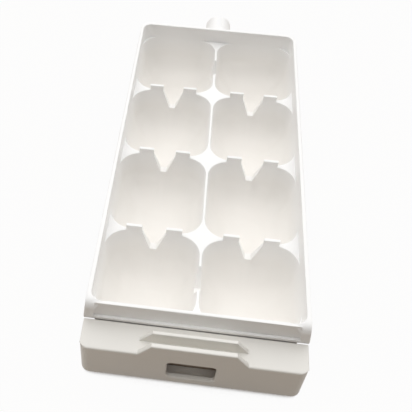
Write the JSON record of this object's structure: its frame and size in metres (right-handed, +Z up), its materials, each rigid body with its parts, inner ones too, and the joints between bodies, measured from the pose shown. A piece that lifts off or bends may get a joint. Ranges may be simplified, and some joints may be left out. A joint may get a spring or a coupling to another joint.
{
  "type": "ice cube tray",
  "caption": "Freezer ice cube tray with rounded cells, notched dividers, a sprung front latch lever and a split round pivot behind.",
  "frame": {"origin": "middle of the whole object in plan, on the surface that the cells stand on", "axes": "+X to the right seen from the lever, +Y from the lever to the back wall, +Z up"},
  "size_m": [0.1016, 0.244, 0.037],
  "materials": {
    "tray_plastic": "satin",
    "lever_plastic": "satin",
    "bracket_plastic": "satin",
    "bush_plastic": "satin",
    "steel": "brushed",
    "buffer_rubber": "matt"
  },
  "bodies": {
    "tray": {"ice_tray": "tray_plastic", "lever_bracket": "bracket_plastic", "stop_buffer_left": "buffer_rubber", "stop_buffer_right": "buffer_rubber", "bracket_screws": "steel", "pin_clips": "steel", "hinge_pin_left": "steel", "hinge_pin_right": "steel", "return_spring_left": "steel", "return_spring_right": "steel"},
    "lever": {"front_lever": "lever_plastic", "latch_plate": "bracket_plastic", "latch_screws": "steel", "hinge_bush_left": "bush_plastic", "hinge_bush_right": "bush_plastic"}
  },
  "joints": [
    {"name": "lever_swing", "type": "hinge", "parent": "tray", "child": "lever", "pos_m": [0, -0.11665, 0.0065], "axis": [1, 0, 0], "range_deg": [0, 18], "stiffness_Nm_per_rad": 0.088, "springref_deg": -20.05, "deforming": ["return_spring_left", "return_spring_right"]}
  ]
}
